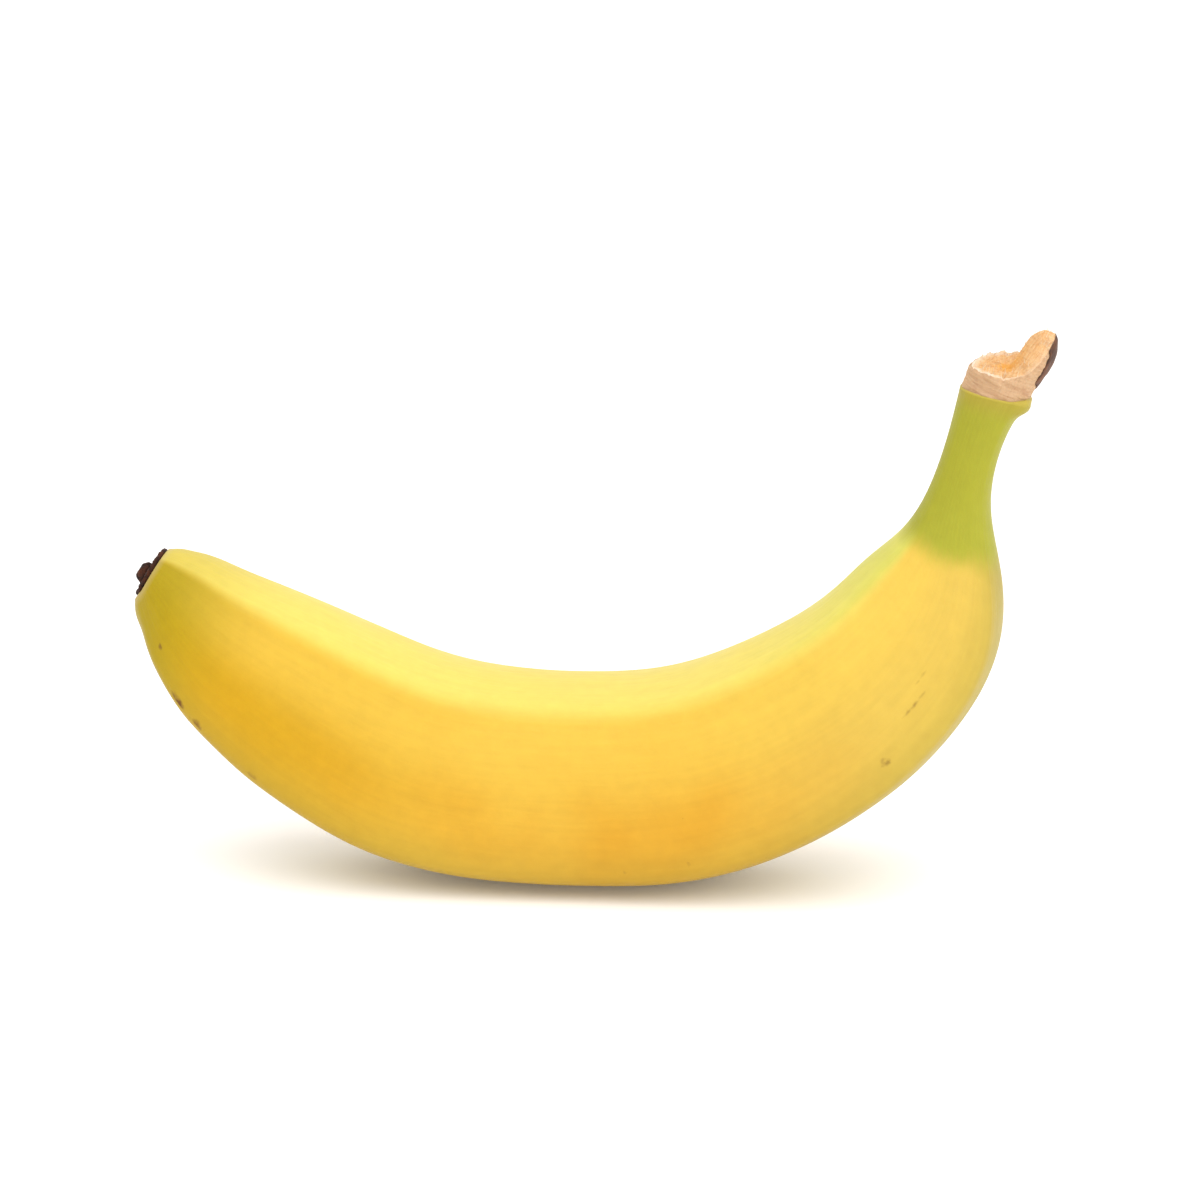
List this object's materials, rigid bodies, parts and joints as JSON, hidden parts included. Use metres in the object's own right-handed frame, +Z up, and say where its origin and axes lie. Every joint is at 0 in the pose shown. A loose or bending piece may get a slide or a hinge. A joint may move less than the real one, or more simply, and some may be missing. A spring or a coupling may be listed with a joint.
{
  "type": "banana",
  "caption": "Ripe yellow banana with soft ridges, a curved body, a green-tinged stem torn off its bunch, and a dark dried blossom tip, standing on its belly.",
  "frame": {"origin": "middle of the fruit's box seen from above, on the surface the belly rests on", "axes": "+X along the fruit towards the torn stem, -X towards the blossom tip; +Y away from the side that is seen in front, and the stem leans slightly that way; +Z up, the way both ends curve"},
  "size_m": [0.158, 0.0358, 0.0966],
  "materials": {
    "peel": "satin, waxy, ripe yellow banana peel",
    "torn_stem": "matte, fibrous, torn and air-dried",
    "dried_blossom": "matte, dark, crusty"
  },
  "bodies": {
    "root": {"banana": "peel"}
  },
  "joints": []
}
